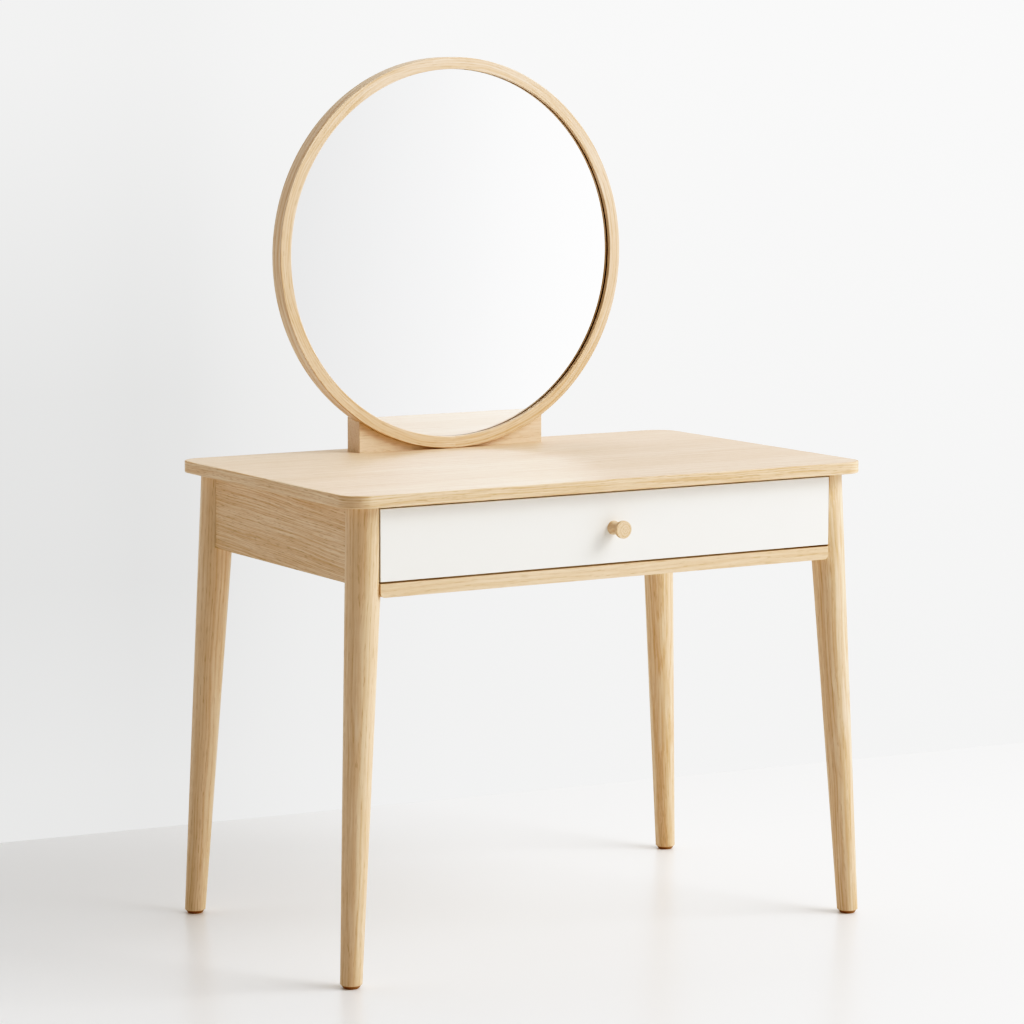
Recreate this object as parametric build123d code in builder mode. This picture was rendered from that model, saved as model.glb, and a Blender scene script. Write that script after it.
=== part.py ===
"""Salon styling station: an oak dressing table with one drawer and a round framed mirror.

All sizes are millimetres. The origin lies on the floor under the middle of the top,
+X runs to the sitter's right, the sitter is on the -Y side and +Z is up.
"""
import math
import os

from build123d import *

# ---------------------------------------------------------------- driving sizes
# tabletop
table_height = 750.0
top_length = 950.0
top_depth = 600.0
top_thickness = 19.0
top_corner_radius = 40.0
top_edge_round = 1.5

# legs: turned, tapered and splayed
leg_top_radius = 29.5
leg_foot_radius = 17.0
leg_inset_x = 53.0
leg_inset_y = 50.5
leg_splay_x = 41.5
leg_splay_y = 24.5
leg_foot_chamfer = 1.0
glide_height = 5.0
glide_top_radius = 15.5
glide_floor_radius = 12.0
glide_nail_radius = 2.0
glide_nail_length = 18.0

# front: drawer opening, rail below it and stretcher above it
front_setback = 21.0
front_end_inset = 10.0
drawer_opening_height = 118.0
rail_height = 21.0
rail_depth = 40.0
rail_corner_radius = 8.0
stretcher_thickness = 18.0
stretcher_depth = 40.0
stretcher_gap = 3.0

# aprons
apron_thickness = 18.0
apron_height = 121.0
side_apron_offset = 19.0
back_apron_offset = 16.5
apron_end_short = 5.0
shadow_gap = 2.0
shadow_depth = 4.0
shadow_foot = 8.0

# back corner blocks and their bolts
block_thickness = 22.0
block_height = 60.0
block_gap = 5.0
bolt_radius = 4.0
bolt_in_leg = 24.0
bolt_tail = 12.0
nut_thickness = 6.5
nut_across_flats = 13.0

# dowels, which share five levels up the aprons with the bolts
dowel_radius = 4.0
dowel_length = 40.0
joint_edge = 20.5

# telescopic runners
runner_width = 12.7
runner_height = 45.0
runner_sheet = 1.2
runner_gap = 0.35
runner_leg_gap = 1.0
runner_front_gap = 3.0
runner_back_gap = 7.0
batten_height = 50.0
batten_block_gap = 6.0
batten_leg_gap = 3.0

# drawer
drawer_front_thickness = 18.0
drawer_front_round = 1.0
drawer_gap_top = 4.5
drawer_gap_bottom = 3.0
drawer_gap_side = 1.6
drawer_back_gap = 99.0
drawer_box_lift = 9.0
drawer_box_headroom = 11.0
drawer_side_thickness = 12.0
drawer_bottom_thickness = 5.0
drawer_groove_depth = 5.0
drawer_groove_rise = 8.0
panel_clearance = 0.2

# knob
knob_base_radius = 11.0
knob_neck_radius = 9.6
knob_face_radius = 14.0
knob_length = 31.0
knob_disc_thickness = 5.0
knob_edge_round = 0.8
knob_screw_radius = 2.0
knob_screw_in_knob = 15.0
knob_screw_head_radius = 4.0
knob_screw_head_height = 2.4

# mirror
mirror_radius = 325.0
mirror_face_width = 20.0
mirror_depth = 30.0
mirror_lip_depth = 9.0
mirror_rebate_width = 6.0
mirror_edge_round = 1.5
mirror_seat_gap = 0.2
glass_thickness = 4.0
glass_clearance = 0.5
backing_thickness = 3.0
clip_count = 8
clip_sheet = 1.0
clip_width = 14.0
clip_reach = 12.0
clip_rise = 10.0

# plinth that carries the mirror
plinth_length = 352.0
plinth_depth = 42.0
plinth_height = 57.0
plinth_back_inset = 30.0
plinth_edge_round = 0.8
mirror_proud = 12.0

# angle brackets under the top
bracket_sheet = 2.0
bracket_leg = 18.0
bracket_width = 16.0

# screws: how far the rows start from the ends of what they hold
stretcher_screw_end = 123.0
batten_screw_end = 27.0
runner_screw_front = 67.0
runner_screw_back = 40.0
drawer_runner_screw_end = 38.0
drawer_front_screw_end = 46.8
drawer_box_screw_edge = 10.0
plinth_screw_end = 16.0
plinth_screw_pitch = 28.0
mirror_screw_end = 57.0
side_bracket_end = 144.5
back_bracket_end = 197.0

# screws: shank diameter and length
bore_clearance = 0.05
stretcher_screw = (4.5, 30.0)
bracket_screw = (3.5, 14.0)
batten_screw = (4.5, 40.0)
runner_screw = (3.5, 16.0)
drawer_runner_screw = (3.5, 11.5)
drawer_front_screw = (4.0, 25.0)
drawer_box_screw = (3.5, 35.0)
plinth_screw = (4.5, 40.0)
mirror_screw = (4.0, 36.0)
clip_screw = (3.0, 9.0)

# ---------------------------------------------------------------- places worked out from them
top_half_x = top_length / 2
top_half_y = top_depth / 2
underside = table_height - top_thickness

leg_top_x = top_half_x - leg_inset_x
leg_top_y = top_half_y - leg_inset_y
leg_foot_x = leg_top_x + leg_splay_x
leg_foot_y = leg_top_y + leg_splay_y

front_y = -(top_half_y - front_setback)
front_half_x = leg_top_x - front_end_inset
rail_top = underside - drawer_opening_height
drawer_front_back_y = front_y + drawer_front_thickness
drawer_front_z = rail_top + drawer_gap_bottom
drawer_front_height = drawer_opening_height - drawer_gap_bottom - drawer_gap_top

apron_bottom = underside - apron_height
side_apron_outer = leg_top_x + side_apron_offset
side_apron_inner = side_apron_outer - apron_thickness
side_apron_end = leg_top_y - apron_end_short
back_apron_outer = leg_top_y + back_apron_offset
back_apron_inner = back_apron_outer - apron_thickness
back_apron_end = leg_top_x - apron_end_short
stretcher_front_y = drawer_front_back_y + stretcher_gap
stretcher_mid_y = stretcher_front_y + stretcher_depth / 2

drawer_box_height = (
    drawer_opening_height - stretcher_thickness - drawer_box_headroom - drawer_box_lift
)
drawer_box_z = rail_top + drawer_box_lift
drawer_box_back_y = back_apron_inner - drawer_back_gap
drawer_box_length = drawer_box_back_y - drawer_front_back_y
runner_z = drawer_box_z + drawer_box_height / 2
runner_front_y = drawer_front_back_y + runner_front_gap
runner_back_y = drawer_box_back_y - runner_back_gap
runner_length = runner_back_y - runner_front_y

batten_face_x = leg_top_x - leg_top_radius - runner_leg_gap
drawer_half_x = batten_face_x - runner_width
block_reach_y = back_apron_inner - (side_apron_inner - drawer_half_x)
batten_front_y = -(leg_top_y - leg_top_radius) + batten_leg_gap
batten_back_y = block_reach_y - block_thickness * math.sqrt(2) - batten_block_gap
inner_half_x = drawer_half_x - drawer_side_thickness
knob_z = drawer_front_z + drawer_front_height / 2

plinth_back_y = top_half_y - plinth_back_inset
plinth_front_y = plinth_back_y - plinth_depth
mirror_front_y = plinth_front_y - mirror_proud
mirror_back_y = mirror_front_y + mirror_depth
mirror_z = table_height + mirror_radius + mirror_seat_gap
mirror_rebate_radius = mirror_radius - mirror_face_width + mirror_rebate_width
glass_front_y = mirror_front_y + mirror_lip_depth
glass_radius = mirror_rebate_radius - glass_clearance
backing_front_y = glass_front_y + glass_thickness
backing_back_y = backing_front_y + backing_thickness

LEFT_RIGHT = (("left", -1), ("right", 1))
CORNERS = (
    ("front_left", -1, -1),
    ("front_right", 1, -1),
    ("back_left", -1, 1),
    ("back_right", 1, 1),
)

os.makedirs("parts", exist_ok=True)


def save(piece, name):
    """Label a finished piece with its node name and write its STEP file."""
    piece.part.label = name
    export_step(piece.part, f"parts/{name}.step")


def leg_axis_point(side_x, side_y, height):
    """Point on a leg's axis at a height above the floor."""
    share = height / underside
    x = leg_foot_x - leg_splay_x * share
    y = leg_foot_y - leg_splay_y * share
    return Vector(side_x * x, side_y * y, height)


def leg_radius(height):
    """Radius of a leg at a height above the floor."""
    return leg_foot_radius + (leg_top_radius - leg_foot_radius) * height / underside


def leg_cone(side_x, side_y, grow=0.0):
    """The whole turned leg, from below the floor to above the top's underside."""
    low = leg_axis_point(side_x, side_y, -leg_foot_radius)
    high = leg_axis_point(side_x, side_y, underside + leg_top_radius)
    length = (high - low).length
    with BuildPart(Plane(origin=low, z_dir=high - low)) as cone:
        Cone(
            leg_radius(low.Z) + grow,
            leg_radius(high.Z) + grow,
            length,
            align=(Align.CENTER, Align.CENTER, Align.MIN),
        )
    return cone.part


def wood_screw(size, grow=0.0):
    """Countersunk screw with its head's top on the XY plane and its tip up +Z."""
    diameter, length = size
    shank = diameter / 2 + grow
    head = diameter + grow
    with BuildPart() as screw:
        with BuildSketch(Plane.XZ):
            with BuildLine():
                Polyline(
                    (0, 0),
                    (head, 0),
                    (shank, diameter / 2),
                    (shank, length - diameter),
                    (0, length + grow),
                    close=True,
                )
            make_face()
        revolve(axis=Axis.Z)
    return screw.part


def drive(places, size, grow=0.0, mode=Mode.ADD):
    """Put a screw of one size at each place, or cut its bore."""
    screw = wood_screw(size, grow)
    with Locations(*[place.location for place in places]):
        add(screw, mode=mode)


def bore(places, size):
    """Cut the bores of a group of screws."""
    drive(places, size, grow=bore_clearance, mode=Mode.SUBTRACT)


def rod(places, radius, length, mode=Mode.ADD):
    """Plain round bars that start on each place's plane, or their bores."""
    with Locations(*[place.location for place in places]):
        Cylinder(radius, length, align=(Align.CENTER, Align.CENTER, Align.MIN), mode=mode)


def spread(first, last, count):
    """Evenly spaced values from the first to the last."""
    step = (last - first) / (count - 1)
    return [first + step * index for index in range(count)]


# ---------------------------------------------------------------- where the fasteners go
UP = (0, 0, 1)
FRONTWARD = (0, -1, 0)
stretcher_screw_x = side_apron_inner - stretcher_screw_end
drawer_front_screw_x = inner_half_x - drawer_front_screw_end
side_bracket_y = side_apron_end - side_bracket_end
back_bracket_x = back_apron_end - back_bracket_end
joint_levels = spread(apron_bottom + joint_edge, underside - joint_edge, 5)
side_dowel_levels = (joint_levels[0], joint_levels[3])
back_dowel_levels = (joint_levels[1], joint_levels[4])
bolt_z = joint_levels[2]

stretcher_screws_at = [
    Plane(origin=(x, stretcher_mid_y, underside - stretcher_thickness), z_dir=UP)
    for x in spread(-stretcher_screw_x, stretcher_screw_x, 4)
]
batten_screws_at = [
    Plane(origin=(side * batten_face_x, y, runner_z), z_dir=(side, 0, 0))
    for side in (-1, 1)
    for y in spread(batten_front_y + batten_screw_end, batten_back_y - batten_screw_end, 3)
]
runner_screws_at = [
    Plane(origin=(side * (batten_face_x - runner_sheet), y, runner_z), z_dir=(side, 0, 0))
    for side in (-1, 1)
    for y in spread(batten_front_y + runner_screw_front, runner_back_y - runner_screw_back, 4)
]
drawer_runner_screws_at = [
    Plane(origin=(side * (drawer_half_x + runner_sheet), y, runner_z), z_dir=(-side, 0, 0))
    for side in (-1, 1)
    for y in spread(
        runner_front_y + drawer_runner_screw_end, runner_back_y - drawer_runner_screw_end, 3
    )
]
drawer_front_screws_at = [
    Plane(
        origin=(x, drawer_front_back_y + drawer_side_thickness, runner_z),
        z_dir=FRONTWARD,
    )
    for x in spread(-drawer_front_screw_x, drawer_front_screw_x, 4)
]
drawer_box_screws_at = [
    Plane(origin=(side * drawer_half_x, y, drawer_box_z + rise), z_dir=(-side, 0, 0))
    for side in (-1, 1)
    for y in (
        drawer_front_back_y + drawer_side_thickness / 2,
        drawer_box_back_y - drawer_side_thickness / 2,
    )
    for rise in (
        drawer_groove_rise + drawer_bottom_thickness + drawer_box_screw_edge,
        drawer_box_height - drawer_box_screw_edge,
    )
]
plinth_screw_y = (plinth_front_y + back_apron_inner) / 2
plinth_screw_x = plinth_length / 2 - plinth_screw_end
plinth_screws_at = [
    Plane(origin=(side * x, plinth_screw_y, underside), z_dir=UP)
    for side in (-1, 1)
    for x in (plinth_screw_x, plinth_screw_x - plinth_screw_pitch)
]
mirror_wall_radius = (mirror_radius + mirror_rebate_radius) / 2
mirror_screw_x = plinth_length / 2 - mirror_screw_end
mirror_screws_at = [
    Plane(
        origin=(x, plinth_back_y, mirror_z - math.sqrt(mirror_wall_radius**2 - x**2)),
        z_dir=FRONTWARD,
    )
    for x in spread(-mirror_screw_x, mirror_screw_x, 4)
]
clip_angles = [360 / clip_count * (index + 0.5) for index in range(clip_count)]


def around_mirror(angle, radius, y):
    """Point at an angle around the mirror's centre, counted from +X towards +Z."""
    turn = math.radians(angle)
    return Vector(radius * math.cos(turn), y, mirror_z + radius * math.sin(turn))


clip_screws_at = [
    Plane(
        origin=around_mirror(
            angle,
            mirror_rebate_radius - clip_sheet,
            backing_back_y + clip_sheet + (clip_rise - clip_sheet) / 2,
        ),
        z_dir=around_mirror(angle, 1, 0) - Vector(0, 0, mirror_z),
    )
    for angle in clip_angles
]

bracket_spots = [
    Plane(origin=(side * side_apron_inner, y, underside), x_dir=(-side, 0, 0), z_dir=UP)
    for side in (-1, 1)
    for y in (-side_bracket_y, side_bracket_y)
] + [
    Plane(origin=(x, back_apron_inner, underside), x_dir=FRONTWARD, z_dir=UP)
    for x in (-back_bracket_x, back_bracket_x)
]
bracket_screws_at = []
for spot in bracket_spots:
    half_leg = (bracket_leg + bracket_sheet) / 2
    bracket_screws_at.append(
        Plane(origin=spot.from_local_coords((half_leg, 0, -bracket_sheet)), z_dir=UP)
    )
    bracket_screws_at.append(
        Plane(origin=spot.from_local_coords((bracket_sheet, 0, -half_leg)), z_dir=-spot.x_dir)
    )

dowels_at = [
    Plane(
        origin=(
            side_x * (side_apron_outer - apron_thickness / 2),
            side_y * (side_apron_end - dowel_length / 2),
            level,
        ),
        z_dir=(0, side_y, 0),
    )
    for _, side_x, side_y in CORNERS
    for level in side_dowel_levels
]
dowels_at += [
    Plane(
        origin=(
            side * (back_apron_end - dowel_length / 2),
            back_apron_outer - apron_thickness / 2,
            level,
        ),
        z_dir=(side, 0, 0),
    )
    for side in (-1, 1)
    for level in back_dowel_levels
]
dowels_at += [
    Plane(
        origin=(
            side * (front_half_x - dowel_length / 2),
            front_y + rail_depth / 2,
            rail_top - rail_height / 2,
        ),
        z_dir=(side, 0, 0),
    )
    for side in (-1, 1)
]

block_outer_reach = leg_radius(bolt_z) + block_gap
block_inner_reach = block_outer_reach + block_thickness
bolts_at = []
nuts_at = []
for side in (-1, 1):
    leg_point = leg_axis_point(side, 1, bolt_z)
    inward = Vector(-side, -1, 0).normalized()
    bolts_at.append(
        Plane(origin=leg_point + inward * (leg_radius(bolt_z) - bolt_in_leg), z_dir=inward)
    )
    nuts_at.append(Plane(origin=leg_point + inward * block_inner_reach, z_dir=inward))
bolt_length = bolt_in_leg + block_gap + block_thickness + bolt_tail

# ---------------------------------------------------------------- tabletop
with BuildPart() as tabletop:
    with BuildSketch(Plane.XY.offset(underside)):
        RectangleRounded(top_length, top_depth, top_corner_radius)
    extrude(amount=top_thickness)
    outline = tabletop.faces().filter_by(Axis.Z).edges()
    fillet(outline, top_edge_round)
    bore(stretcher_screws_at, stretcher_screw)
    bore(bracket_screws_at, bracket_screw)
    bore(plinth_screws_at, plinth_screw)
save(tabletop, "tabletop")

# ---------------------------------------------------------------- front rail and stretcher
with BuildPart() as front_rail:
    with BuildSketch(Plane.XZ.offset(-front_y)):
        with Locations((0, rail_top - rail_height / 2)):
            Rectangle(2 * front_half_x, rail_height)
    extrude(amount=-rail_depth)
    lower_ends = front_rail.edges().filter_by(Axis.Y).group_by(Axis.Z)[0]
    fillet(lower_ends, rail_corner_radius)
    rod(dowels_at, dowel_radius + bore_clearance, dowel_length, mode=Mode.SUBTRACT)
save(front_rail, "front_rail")

with BuildPart() as front_stretcher:
    with BuildSketch(Plane.XY.offset(underside)):
        with Locations((0, stretcher_mid_y)):
            Rectangle(2 * side_apron_inner, stretcher_depth)
    extrude(amount=-stretcher_thickness)
    bore(stretcher_screws_at, stretcher_screw)
save(front_stretcher, "front_stretcher")

# ---------------------------------------------------------------- aprons
side_aprons = {}
for name, side in LEFT_RIGHT:
    with BuildPart() as quirk:
        add(leg_cone(side, -1, shadow_gap))
        add(leg_cone(side, 1, shadow_gap))
        with BuildSketch(Plane.XY.offset(apron_bottom + shadow_foot)):
            with Locations((side * side_apron_outer, 0)):
                Rectangle(2 * shadow_depth, top_depth)
        extrude(amount=apron_height, mode=Mode.INTERSECT)
    with BuildPart() as side_apron:
        with BuildSketch(Plane.XY.offset(apron_bottom)):
            with Locations((side * (side_apron_outer - apron_thickness / 2), 0)):
                Rectangle(apron_thickness, 2 * side_apron_end)
        extrude(amount=apron_height)
        add(quirk.part, mode=Mode.SUBTRACT)
        rod(dowels_at, dowel_radius + bore_clearance, dowel_length, mode=Mode.SUBTRACT)
        rod(bolts_at, bolt_radius + bore_clearance, bolt_length, mode=Mode.SUBTRACT)
        bore(batten_screws_at, batten_screw)
        bore(bracket_screws_at, bracket_screw)
    save(side_apron, f"side_apron_{name}")
    side_aprons[side] = side_apron.part

with BuildPart() as back_apron:
    with BuildSketch(Plane.XY.offset(apron_bottom)):
        with Locations((0, back_apron_outer - apron_thickness / 2)):
            Rectangle(2 * back_apron_end, apron_thickness)
    extrude(amount=apron_height)
    rod(dowels_at, dowel_radius + bore_clearance, dowel_length, mode=Mode.SUBTRACT)
    rod(bolts_at, bolt_radius + bore_clearance, bolt_length, mode=Mode.SUBTRACT)
    bore(bracket_screws_at, bracket_screw)
save(back_apron, "back_apron")

# ---------------------------------------------------------------- legs and floor glides
for name, side_x, side_y in CORNERS:
    foot = leg_axis_point(side_x, side_y, glide_height)
    with BuildPart() as leg:
        add(leg_cone(side_x, side_y))
        split(bisect_by=Plane.XY.offset(underside), keep=Keep.BOTTOM)
        split(bisect_by=Plane.XY.offset(glide_height), keep=Keep.TOP)
        foot_edge = leg.faces().sort_by(Axis.Z)[0].edges()
        chamfer(foot_edge, leg_foot_chamfer)
        add(side_aprons[side_x], mode=Mode.SUBTRACT)
        rod([Plane(origin=foot)], glide_nail_radius + bore_clearance, glide_nail_length, Mode.SUBTRACT)
        rod(dowels_at, dowel_radius + bore_clearance, dowel_length, mode=Mode.SUBTRACT)
        if side_y < 0:
            add(front_rail.part, mode=Mode.SUBTRACT)
            add(front_stretcher.part, mode=Mode.SUBTRACT)
            with BuildSketch(Plane.XY.offset(rail_top)):
                with Locations((0, drawer_front_back_y + drawer_gap_side - top_depth / 2)):
                    Rectangle(2 * (front_half_x + drawer_gap_side), top_depth)
            extrude(amount=drawer_opening_height, mode=Mode.SUBTRACT)
        else:
            add(back_apron.part, mode=Mode.SUBTRACT)
            rod(bolts_at, bolt_radius + bore_clearance, bolt_length, mode=Mode.SUBTRACT)
    save(leg, f"leg_{name}")

    with BuildPart() as glide:
        with Locations((foot.X, foot.Y, 0)):
            Cone(
                glide_floor_radius,
                glide_top_radius,
                glide_height,
                align=(Align.CENTER, Align.CENTER, Align.MIN),
            )
        rod([Plane(origin=foot)], glide_nail_radius, glide_nail_length)
    save(glide, f"glide_{name}")

with BuildPart() as joint_dowels:
    rod(dowels_at, dowel_radius, dowel_length)
save(joint_dowels, "joint_dowels")

# ---------------------------------------------------------------- back corner blocks and bolts
for (name, side), bolt_at in zip(LEFT_RIGHT, bolts_at):
    leg_point = leg_axis_point(side, 1, bolt_z)
    inward = bolt_at.z_dir
    block_point = leg_point + inward * (block_outer_reach + block_thickness / 2)
    with BuildPart() as corner_block:
        with BuildSketch(Plane.XY.offset(bolt_z - block_height / 2)):
            with Locations(Location((block_point.X, block_point.Y, 0), (0, 0, side * 45))):
                Rectangle(block_thickness, top_depth)
            with Locations((0, 0)):
                Rectangle(2 * side_apron_inner, 2 * back_apron_inner, mode=Mode.INTERSECT)
        extrude(amount=block_height)
        rod([bolt_at], bolt_radius + bore_clearance, bolt_length, mode=Mode.SUBTRACT)
    save(corner_block, f"corner_block_{name}")

with BuildPart() as leg_bolts:
    rod(bolts_at, bolt_radius, bolt_length)
save(leg_bolts, "leg_bolts")

with BuildPart() as leg_nuts:
    with BuildSketch(*nuts_at):
        RegularPolygon(nut_across_flats / 2, 6, major_radius=False)
        Circle(bolt_radius + bore_clearance, mode=Mode.SUBTRACT)
    extrude(amount=nut_thickness)
save(leg_nuts, "leg_nuts")

# ---------------------------------------------------------------- brackets and screws under the top
with BuildPart() as bracket_shape:
    with BuildSketch(Plane.XZ):
        with BuildLine():
            Polyline(
                (0, 0),
                (bracket_leg, 0),
                (bracket_leg, -bracket_sheet),
                (bracket_sheet, -bracket_sheet),
                (bracket_sheet, -bracket_leg),
                (0, -bracket_leg),
                close=True,
            )
        make_face()
    extrude(amount=bracket_width / 2, both=True)
with BuildPart() as top_brackets:
    with Locations(*[spot.location for spot in bracket_spots]):
        add(bracket_shape.part)
    bore(bracket_screws_at, bracket_screw)
save(top_brackets, "top_brackets")

with BuildPart() as bracket_screws:
    drive(bracket_screws_at, bracket_screw)
save(bracket_screws, "bracket_screws")

with BuildPart() as stretcher_screws:
    drive(stretcher_screws_at, stretcher_screw)
save(stretcher_screws, "stretcher_screws")

# ---------------------------------------------------------------- battens and telescopic runners
for name, side in LEFT_RIGHT:
    with BuildPart() as batten:
        with BuildSketch(Plane.XZ.offset(-batten_front_y)):
            with Locations((side * (batten_face_x + side_apron_inner) / 2, runner_z)):
                Rectangle(side_apron_inner - batten_face_x, batten_height)
        extrude(amount=batten_front_y - batten_back_y)
        bore(batten_screws_at, batten_screw)
        bore(runner_screws_at, runner_screw)
    save(batten, f"runner_batten_{name}")

    member_half = runner_height / 2
    reach = runner_sheet + runner_gap
    members = (
        ("outer", 0.0, member_half, runner_width - runner_sheet - runner_gap),
        ("middle", reach, member_half - reach, runner_width - runner_sheet - runner_gap),
        ("inner", runner_width, member_half - 2 * reach, 2 * reach),
    )
    for member, web_at, half_height, lip_at in members:
        toward_lip = 1 if lip_at > web_at else -1
        web_x = batten_face_x - web_at
        lip_x = batten_face_x - lip_at
        with BuildPart() as channel:
            with BuildSketch(Plane.XZ.offset(-runner_front_y)):
                with Locations((side * (web_x + lip_x) / 2, runner_z)):
                    Rectangle(abs(web_x - lip_x), 2 * half_height)
                hollow_x = (web_x + lip_x) / 2 - toward_lip * runner_sheet
                with Locations((side * hollow_x, runner_z)):
                    Rectangle(
                        abs(web_x - lip_x), 2 * (half_height - runner_sheet), mode=Mode.SUBTRACT
                    )
            extrude(amount=-runner_length)
            if member == "outer":
                bore(runner_screws_at, runner_screw)
            if member == "inner":
                bore(drawer_runner_screws_at, drawer_runner_screw)
        save(channel, f"runner_{member}_{name}")

for group_name, places, size in (
    ("batten_screws", batten_screws_at, batten_screw),
    ("runner_screws", runner_screws_at, runner_screw),
    ("drawer_runner_screws", drawer_runner_screws_at, drawer_runner_screw),
    ("drawer_front_screws", drawer_front_screws_at, drawer_front_screw),
    ("drawer_box_screws", drawer_box_screws_at, drawer_box_screw),
    ("plinth_screws", plinth_screws_at, plinth_screw),
    ("mirror_screws", mirror_screws_at, mirror_screw),
    ("mirror_clip_screws", clip_screws_at, clip_screw),
):
    with BuildPart() as screw_group:
        drive(places, size)
    save(screw_group, group_name)

# ---------------------------------------------------------------- drawer
knob_screw_plane = Plane(
    origin=(0, drawer_front_back_y + drawer_side_thickness, knob_z), z_dir=FRONTWARD
)
knob_screw_length = drawer_side_thickness + drawer_front_thickness + knob_screw_in_knob

with BuildPart() as drawer_front:
    with BuildSketch(Plane.XZ.offset(-front_y)):
        with Locations((0, drawer_front_z + drawer_front_height / 2)):
            Rectangle(2 * front_half_x, drawer_front_height)
    extrude(amount=-drawer_front_thickness)
    front_edges = drawer_front.faces().sort_by(Axis.Y)[0].edges()
    fillet(front_edges, drawer_front_round)
    bore(drawer_front_screws_at, drawer_front_screw)
    rod([knob_screw_plane], knob_screw_radius + bore_clearance, knob_screw_length, Mode.SUBTRACT)
save(drawer_front, "drawer_front")

panel_half_x = inner_half_x + drawer_groove_depth
panel_front_y = drawer_front_back_y + drawer_side_thickness - drawer_groove_depth
panel_back_y = drawer_box_back_y - drawer_side_thickness + drawer_groove_depth
panel_mid_y = (panel_front_y + panel_back_y) / 2
panel_z = drawer_box_z + drawer_groove_rise

with BuildPart() as panel_groove:
    with BuildSketch(Plane.XY.offset(panel_z)):
        with Locations((0, panel_mid_y)):
            Rectangle(2 * panel_half_x, panel_back_y - panel_front_y)
    extrude(amount=drawer_bottom_thickness)

with BuildPart() as drawer_bottom:
    with BuildSketch(Plane.XY.offset(panel_z + panel_clearance)):
        with Locations((0, panel_mid_y)):
            Rectangle(
                2 * (panel_half_x - panel_clearance),
                panel_back_y - panel_front_y - 2 * panel_clearance,
            )
    extrude(amount=drawer_bottom_thickness - 2 * panel_clearance)
save(drawer_bottom, "drawer_bottom")

for name, side in LEFT_RIGHT:
    with BuildPart() as drawer_side:
        with BuildSketch(Plane.XZ.offset(-drawer_front_back_y)):
            wall_x = side * (drawer_half_x - drawer_side_thickness / 2)
            with Locations((wall_x, drawer_box_z + drawer_box_height / 2)):
                Rectangle(drawer_side_thickness, drawer_box_height)
        extrude(amount=-drawer_box_length)
        add(panel_groove.part, mode=Mode.SUBTRACT)
        bore(drawer_box_screws_at, drawer_box_screw)
        bore(drawer_runner_screws_at, drawer_runner_screw)
    save(drawer_side, f"drawer_side_{name}")

for name, wall_front_y in (
    ("drawer_box_front", drawer_front_back_y),
    ("drawer_box_back", drawer_box_back_y - drawer_side_thickness),
):
    with BuildPart() as drawer_wall:
        with BuildSketch(Plane.XZ.offset(-wall_front_y)):
            with Locations((0, drawer_box_z + drawer_box_height / 2)):
                Rectangle(2 * inner_half_x, drawer_box_height)
        extrude(amount=-drawer_side_thickness)
        add(panel_groove.part, mode=Mode.SUBTRACT)
        bore(drawer_box_screws_at, drawer_box_screw)
        if name == "drawer_box_front":
            bore(drawer_front_screws_at, drawer_front_screw)
            rod(
                [knob_screw_plane],
                knob_screw_radius + bore_clearance,
                knob_screw_length,
                Mode.SUBTRACT,
            )
    save(drawer_wall, name)

# ---------------------------------------------------------------- knob
knob_plane = Plane(origin=(0, front_y, knob_z), x_dir=(1, 0, 0), z_dir=(0, 0, 1))
with BuildPart() as knob:
    with BuildSketch(knob_plane):
        with BuildLine():
            disc_at = -(knob_length - knob_disc_thickness)
            neck_end = (knob_face_radius - knob_edge_round, disc_at)
            Line((0, 0), (knob_base_radius, 0))
            Spline(
                (knob_base_radius, 0),
                (knob_neck_radius, disc_at / 2),
                neck_end,
                tangents=((-0.15, -1), (1, -0.6)),
            )
            Line(neck_end, (knob_face_radius, disc_at))
            Line((knob_face_radius, disc_at), (knob_face_radius, -knob_length))
            Line((knob_face_radius, -knob_length), (0, -knob_length))
            Line((0, -knob_length), (0, 0))
        make_face()
    revolve(axis=Axis((0, front_y, knob_z), FRONTWARD))
    knob_rim = knob.faces().sort_by(Axis.Y)[0].edges()
    fillet(knob_rim, knob_edge_round)
    rod([knob_screw_plane], knob_screw_radius + bore_clearance, knob_screw_length, Mode.SUBTRACT)
save(knob, "knob")

with BuildPart(knob_screw_plane) as knob_screw:
    Cylinder(knob_screw_radius, knob_screw_length, align=(Align.CENTER, Align.CENTER, Align.MIN))
    Cylinder(
        knob_screw_head_radius,
        knob_screw_head_height,
        align=(Align.CENTER, Align.CENTER, Align.MAX),
    )
save(knob_screw, "knob_screw")

# ---------------------------------------------------------------- mirror
mirror_plane = Plane(origin=(0, mirror_front_y, mirror_z), x_dir=(1, 0, 0), z_dir=FRONTWARD)

with BuildPart() as mirror_frame:
    with BuildSketch(mirror_plane):
        Circle(mirror_radius)
        Circle(mirror_radius - mirror_face_width, mode=Mode.SUBTRACT)
    extrude(amount=-mirror_depth)
    with BuildSketch(mirror_plane.offset(-mirror_lip_depth)):
        Circle(mirror_rebate_radius)
    extrude(amount=-mirror_depth, mode=Mode.SUBTRACT)
    front_edges = mirror_frame.faces().sort_by(Axis.Y)[0].edges()
    fillet(front_edges, mirror_edge_round)
    bore(mirror_screws_at, mirror_screw)
    bore(clip_screws_at, clip_screw)
save(mirror_frame, "mirror_frame")

for name, depth_at, thickness in (
    ("mirror_glass", mirror_lip_depth, glass_thickness),
    ("mirror_backing", mirror_lip_depth + glass_thickness, backing_thickness),
):
    with BuildPart() as disc:
        with BuildSketch(mirror_plane.offset(-depth_at)):
            Circle(glass_radius)
        extrude(amount=-thickness)
    save(disc, name)

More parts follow.
